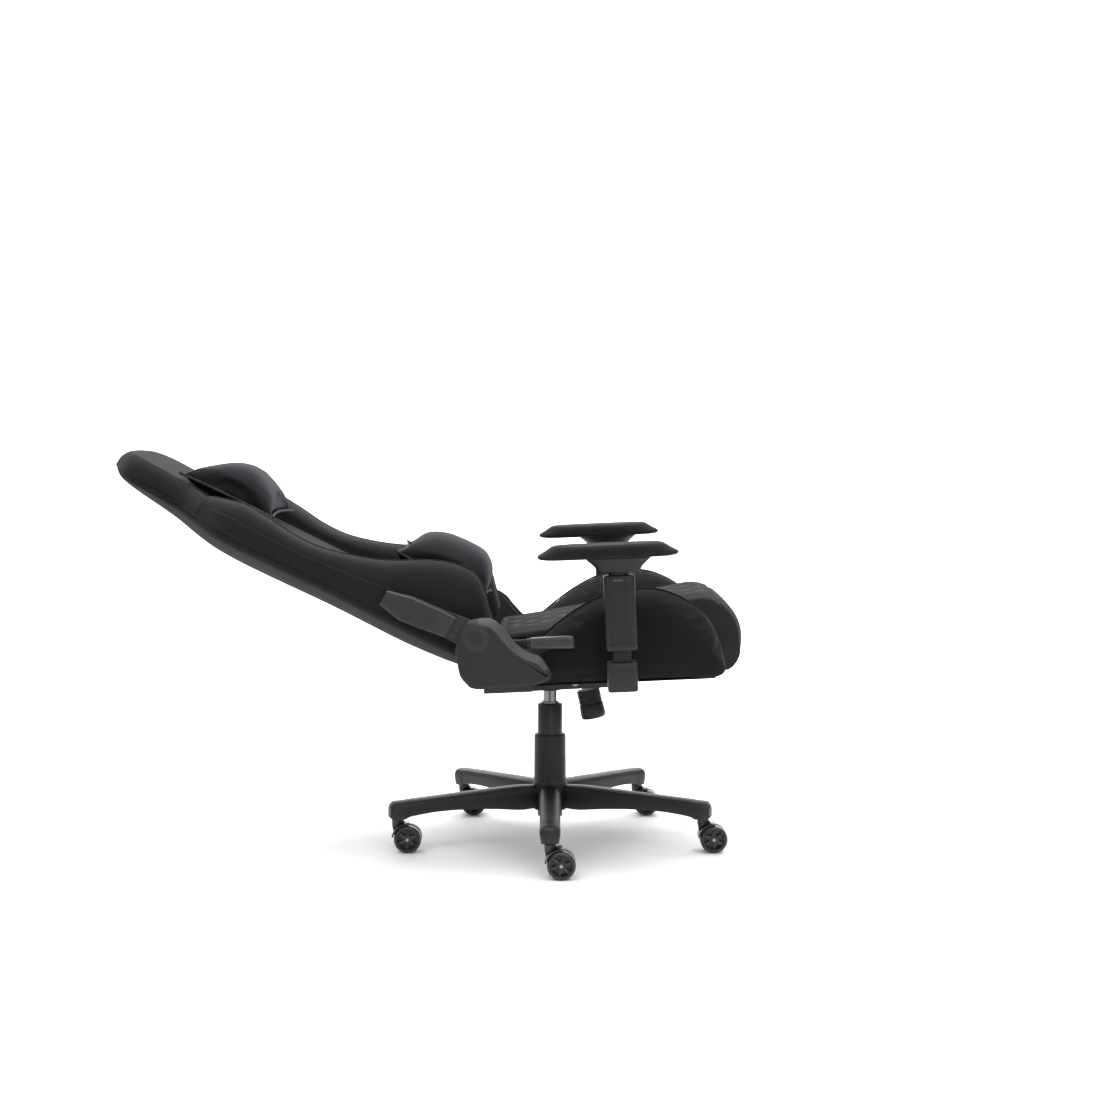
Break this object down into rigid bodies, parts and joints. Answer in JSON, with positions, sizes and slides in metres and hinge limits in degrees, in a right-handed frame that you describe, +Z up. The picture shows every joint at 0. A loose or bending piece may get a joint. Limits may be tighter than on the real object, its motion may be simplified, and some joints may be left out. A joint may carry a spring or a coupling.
{
  "type": "gaming chair",
  "caption": "Reclining racing-style office chair with quilted bucket seat, tilting backrest, height-adjustable armrests and a star base on casters.",
  "frame": {"origin": "on the floor under the middle of the chair's bounding box, in the chair's plane of symmetry; the gas column's axis stands 239 mm ahead of it", "axes": "+X to the front of the seat, +Y to the sitter's left, +Z up; the chair is stored with its backrest reclined"},
  "size_m": [1.2228, 0.749, 0.7898],
  "materials": {
    "black_nylon": "moulded black nylon",
    "caster_plastic": "black caster plastic",
    "black_cover": "satin black cover",
    "pad_polyurethane": "soft-touch polyurethane",
    "lever_grey": "grey moulded lever",
    "black_steel": "black powder coat",
    "chrome": "polished",
    "zinc_steel": "zinc plated",
    "plain_fabric": "plain black knitted fabric",
    "quilted_fabric": "quilted black fabric",
    "velour": "black velour",
    "webbing": "elastic webbing"
  },
  "bodies": {
    "base": {"star_base": "black_nylon", "gas_column": "black_steel", "column_cover": "black_nylon"},
    "caster_1": {"caster_1_body": "caster_plastic"},
    "caster_1_wheel_a": {"caster_1_wheel_a": "caster_plastic"},
    "caster_1_wheel_b": {"caster_1_wheel_b": "caster_plastic"},
    "caster_2": {"caster_2_body": "caster_plastic"},
    "caster_2_wheel_a": {"caster_2_wheel_a": "caster_plastic"},
    "caster_2_wheel_b": {"caster_2_wheel_b": "caster_plastic"},
    "caster_3": {"caster_3_body": "caster_plastic"},
    "caster_3_wheel_a": {"caster_3_wheel_a": "caster_plastic"},
    "caster_3_wheel_b": {"caster_3_wheel_b": "caster_plastic"},
    "caster_4": {"caster_4_body": "caster_plastic"},
    "caster_4_wheel_a": {"caster_4_wheel_a": "caster_plastic"},
    "caster_4_wheel_b": {"caster_4_wheel_b": "caster_plastic"},
    "caster_5": {"caster_5_body": "caster_plastic"},
    "caster_5_wheel_a": {"caster_5_wheel_a": "caster_plastic"},
    "caster_5_wheel_b": {"caster_5_wheel_b": "caster_plastic"},
    "gas_lift": {"gas_rod": "chrome"},
    "mechanism": {"mechanism_housing": "black_steel", "tilt_pin": "zinc_steel", "tilt_spring": "zinc_steel"},
    "tension_knob": {"tension_knob": "black_nylon"},
    "height_lever": {"height_lever": "black_nylon"},
    "seat": {"seat_plate": "black_steel", "seat_pan": "black_nylon", "seat_cushion": "quilted_fabric", "seat_bolster_right": "plain_fabric", "seat_bolster_left": "plain_fabric", "recline_bracket_right": "black_steel", "recline_cover_right": "black_cover", "pivot_bolt_right": "zinc_steel", "arm_bracket_right": "black_steel", "arm_inner_post_right": "black_nylon", "recline_bracket_left": "black_steel", "recline_cover_left": "black_cover", "pivot_bolt_left": "zinc_steel", "arm_bracket_left": "black_steel", "arm_inner_post_left": "black_nylon"},
    "backrest": {"back_frame": "black_steel", "back_pad": "quilted_fabric", "back_wing_right": "plain_fabric", "back_wing_left": "plain_fabric", "back_rear_cover": "plain_fabric", "head_pillow": "velour", "lumbar_pillow": "velour", "head_strap": "webbing", "back_bracket_right": "black_steel", "back_bracket_cover_right": "black_cover", "back_bracket_left": "black_steel", "back_bracket_cover_left": "black_cover"},
    "recline_lever": {"recline_lever": "lever_grey"},
    "arm_sleeve_right": {"arm_sleeve_right": "black_nylon"},
    "arm_button_right": {"arm_button_right": "lever_grey"},
    "arm_cradle_right": {"arm_cradle_right": "black_nylon"},
    "arm_pad_right": {"arm_pad_right": "pad_polyurethane"},
    "arm_sleeve_left": {"arm_sleeve_left": "black_nylon"},
    "arm_button_left": {"arm_button_left": "lever_grey"},
    "arm_cradle_left": {"arm_cradle_left": "black_nylon"},
    "arm_pad_left": {"arm_pad_left": "pad_polyurethane"}
  },
  "joints": [
    {"name": "caster_1_swivel", "type": "hinge", "parent": "base", "child": "caster_1", "pos_m": [0.239, -0.317, 0], "axis": [0, 0, 1], "continuous": true},
    {"name": "caster_1_wheel_a", "type": "hinge", "parent": "caster_1", "child": "caster_1_wheel_a", "pos_m": [0.26, -0.317, 0.027], "axis": [0, 1, 0], "continuous": true},
    {"name": "caster_1_wheel_b", "type": "hinge", "parent": "caster_1", "child": "caster_1_wheel_b", "pos_m": [0.26, -0.317, 0.027], "axis": [0, 1, 0], "continuous": true},
    {"name": "caster_2_swivel", "type": "hinge", "parent": "base", "child": "caster_2", "pos_m": [0.54048, -0.09796, 0], "axis": [0, 0, 1], "continuous": true},
    {"name": "caster_2_wheel_a", "type": "hinge", "parent": "caster_2", "child": "caster_2_wheel_a", "pos_m": [0.56149, -0.09796, 0.027], "axis": [0, 1, 0], "continuous": true},
    {"name": "caster_2_wheel_b", "type": "hinge", "parent": "caster_2", "child": "caster_2_wheel_b", "pos_m": [0.56149, -0.09796, 0.027], "axis": [0, 1, 0], "continuous": true},
    {"name": "caster_3_swivel", "type": "hinge", "parent": "base", "child": "caster_3", "pos_m": [0.42533, 0.25646, 0], "axis": [0, 0, 1], "continuous": true},
    {"name": "caster_3_wheel_a", "type": "hinge", "parent": "caster_3", "child": "caster_3_wheel_a", "pos_m": [0.44633, 0.25646, 0.027], "axis": [0, 1, 0], "continuous": true},
    {"name": "caster_3_wheel_b", "type": "hinge", "parent": "caster_3", "child": "caster_3_wheel_b", "pos_m": [0.44633, 0.25646, 0.027], "axis": [0, 1, 0], "continuous": true},
    {"name": "caster_4_swivel", "type": "hinge", "parent": "base", "child": "caster_4", "pos_m": [0.05267, 0.25646, 0], "axis": [0, 0, 1], "continuous": true},
    {"name": "caster_4_wheel_a", "type": "hinge", "parent": "caster_4", "child": "caster_4_wheel_a", "pos_m": [0.07367, 0.25646, 0.027], "axis": [0, 1, 0], "continuous": true},
    {"name": "caster_4_wheel_b", "type": "hinge", "parent": "caster_4", "child": "caster_4_wheel_b", "pos_m": [0.07367, 0.25646, 0.027], "axis": [0, 1, 0], "continuous": true},
    {"name": "caster_5_swivel", "type": "hinge", "parent": "base", "child": "caster_5", "pos_m": [-0.06248, -0.09796, 0], "axis": [0, 0, 1], "continuous": true},
    {"name": "caster_5_wheel_a", "type": "hinge", "parent": "caster_5", "child": "caster_5_wheel_a", "pos_m": [-0.04149, -0.09796, 0.027], "axis": [0, 1, 0], "continuous": true},
    {"name": "caster_5_wheel_b", "type": "hinge", "parent": "caster_5", "child": "caster_5_wheel_b", "pos_m": [-0.04149, -0.09796, 0.027], "axis": [0, 1, 0], "continuous": true},
    {"name": "height_slide", "type": "slide", "parent": "base", "child": "gas_lift", "axis": [0, 0, 1], "range_m": [-0.02, 0.06]},
    {"name": "seat_swivel", "type": "hinge", "parent": "gas_lift", "child": "mechanism", "pos_m": [0.239, 0, 0], "axis": [0, 0, 1], "continuous": true},
    {"name": "seat_tilt", "type": "hinge", "parent": "mechanism", "child": "seat", "pos_m": [0.289, 0, 0.33], "axis": [0, 1, 0], "range_deg": [-8, 0], "stiffness_Nm_per_rad": 250, "springref_deg": 13.75},
    {"name": "tension_knob_turn", "type": "hinge", "parent": "mechanism", "child": "tension_knob", "pos_m": [0.3155, 0, 0.30899], "axis": [-0.2079, 0, 0.9781], "range_deg": [-360, 360]},
    {"name": "height_lever_lift", "type": "hinge", "parent": "mechanism", "child": "height_lever", "pos_m": [0.259, 0.045, 0.3235], "axis": [1, 0, 0], "range_deg": [0, 4], "stiffness_Nm_per_rad": 2, "springref_deg": -8.59},
    {"name": "recline", "type": "hinge", "parent": "seat", "child": "backrest", "pos_m": [0.10248, 0, 0.44567], "axis": [0, 1, 0], "range_deg": [-9, 56]},
    {"name": "recline_lever_lift", "type": "hinge", "parent": "seat", "child": "recline_lever", "pos_m": [0.15612, 0, 0.432], "axis": [0, -1, 0], "range_deg": [0, 25], "stiffness_Nm_per_rad": 2, "springref_deg": -11.46},
    {"name": "arm_height_right", "type": "slide", "parent": "seat", "child": "arm_sleeve_right", "axis": [-0.0436, 0, 0.999], "range_m": [-0.02, 0.05]},
    {"name": "arm_button_press_right", "type": "slide", "parent": "arm_sleeve_right", "child": "arm_button_right", "axis": [0, 1, 0], "range_m": [0, 0.002], "stiffness_N_per_m": 500, "springref_m": -0.004},
    {"name": "arm_turn_right", "type": "hinge", "parent": "arm_sleeve_right", "child": "arm_cradle_right", "pos_m": [0.37552, -0.3255, 0.33378], "axis": [-0.0436, 0, 0.999], "range_deg": [-20, 20]},
    {"name": "arm_pad_slide_right", "type": "slide", "parent": "arm_cradle_right", "child": "arm_pad_right", "axis": [0.999, 0, 0.0436], "range_m": [-0.02, 0.02]},
    {"name": "arm_height_left", "type": "slide", "parent": "seat", "child": "arm_sleeve_left", "axis": [-0.0436, 0, 0.999], "range_m": [-0.02, 0.05]},
    {"name": "arm_button_press_left", "type": "slide", "parent": "arm_sleeve_left", "child": "arm_button_left", "axis": [0, -1, 0], "range_m": [0, 0.002], "stiffness_N_per_m": 500, "springref_m": -0.004},
    {"name": "arm_turn_left", "type": "hinge", "parent": "arm_sleeve_left", "child": "arm_cradle_left", "pos_m": [0.37552, 0.3255, 0.33378], "axis": [-0.0436, 0, 0.999], "range_deg": [-20, 20]},
    {"name": "arm_pad_slide_left", "type": "slide", "parent": "arm_cradle_left", "child": "arm_pad_left", "axis": [0.999, 0, 0.0436], "range_m": [-0.02, 0.02]}
  ]
}
